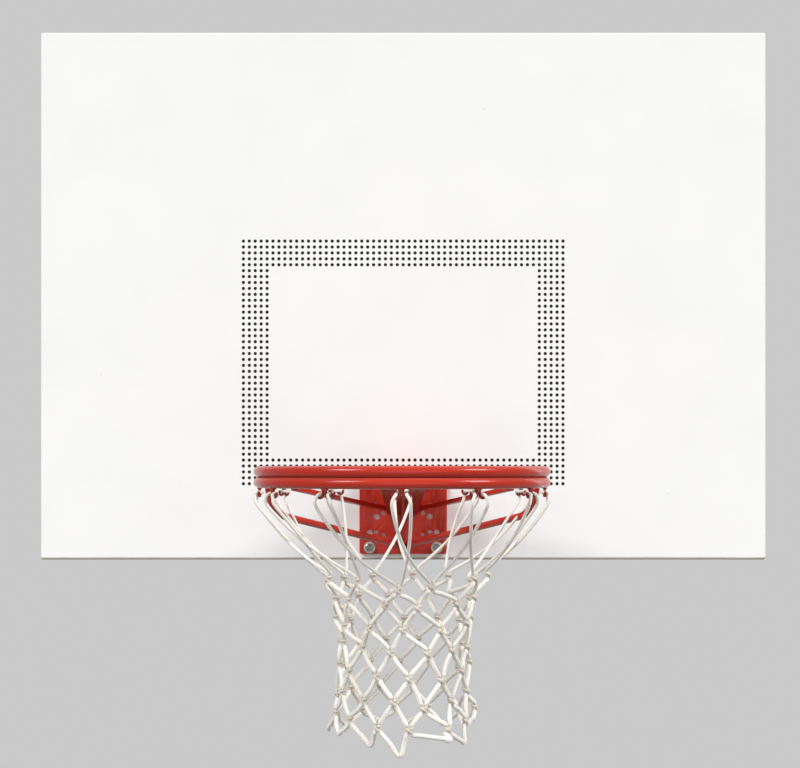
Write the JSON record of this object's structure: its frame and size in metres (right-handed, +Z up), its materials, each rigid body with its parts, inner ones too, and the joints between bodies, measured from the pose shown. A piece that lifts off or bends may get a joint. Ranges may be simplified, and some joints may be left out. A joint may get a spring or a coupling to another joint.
{
  "type": "basketball backboard",
  "caption": "Rectangular steel basketball backboard with a punched aiming target, a fixed braced rim on a bolted plate, net hooks and a hanging cord net; it bolts to its support from the rear.",
  "frame": {"origin": "centre of the four rear mounting holes, on the rear mounting plane, at half the board's height", "axes": "+Z up, the board faces -Y, +X to the right as seen from the front"},
  "size_m": [1.3716, 0.6811, 1.2715],
  "materials": {
    "white_paint": "white powder coat, satin",
    "black_paint": "matt black paint",
    "red_paint": "glossy orange-red powder coat",
    "zinc_steel": "zinc plated",
    "net_cord": "off-white braided nylon cord"
  },
  "bodies": {
    "root": {"bottom_frame_angle": "white_paint", "face_sheet": "white_paint", "goal_backing_plate": "white_paint", "goal_bolts": "zinc_steel", "goal_front_washers": "zinc_steel", "goal_lock_washers": "zinc_steel", "goal_nuts": "zinc_steel", "goal_plate": "red_paint", "goal_rear_washers": "zinc_steel", "left_frame_angle": "white_paint", "left_lower_brace": "red_paint", "left_mounting_channel": "white_paint", "left_upper_brace": "red_paint", "lower_cross_channel": "white_paint", "lower_ring": "red_paint", "neck_gusset": "red_paint", "neck_left_cheek": "red_paint", "neck_right_cheek": "red_paint", "neck_sloping_plate": "red_paint", "neck_top_plate": "red_paint", "net_bottom_loops": "net_cord", "net_hook_01": "red_paint", "net_hook_02": "red_paint", "net_hook_03": "red_paint", "net_hook_04": "red_paint", "net_hook_05": "red_paint", "net_hook_06": "red_paint", "net_hook_07": "red_paint", "net_hook_08": "red_paint", "net_hook_09": "red_paint", "net_hook_10": "red_paint", "net_hook_11": "red_paint", "net_hook_12": "red_paint", "net_knots": "net_cord", "net_mesh_row_1": "net_cord", "net_mesh_row_2": "net_cord", "net_mesh_row_3": "net_cord", "net_mesh_row_4": "net_cord", "net_mesh_row_5": "net_cord", "net_mesh_row_6": "net_cord", "net_top_loops": "net_cord", "right_frame_angle": "white_paint", "right_lower_brace": "red_paint", "right_mounting_channel": "white_paint", "right_upper_brace": "red_paint", "target_backing_sheet": "black_paint", "top_frame_angle": "white_paint", "upper_cross_channel": "white_paint", "upper_ring": "red_paint"}
  },
  "joints": []
}
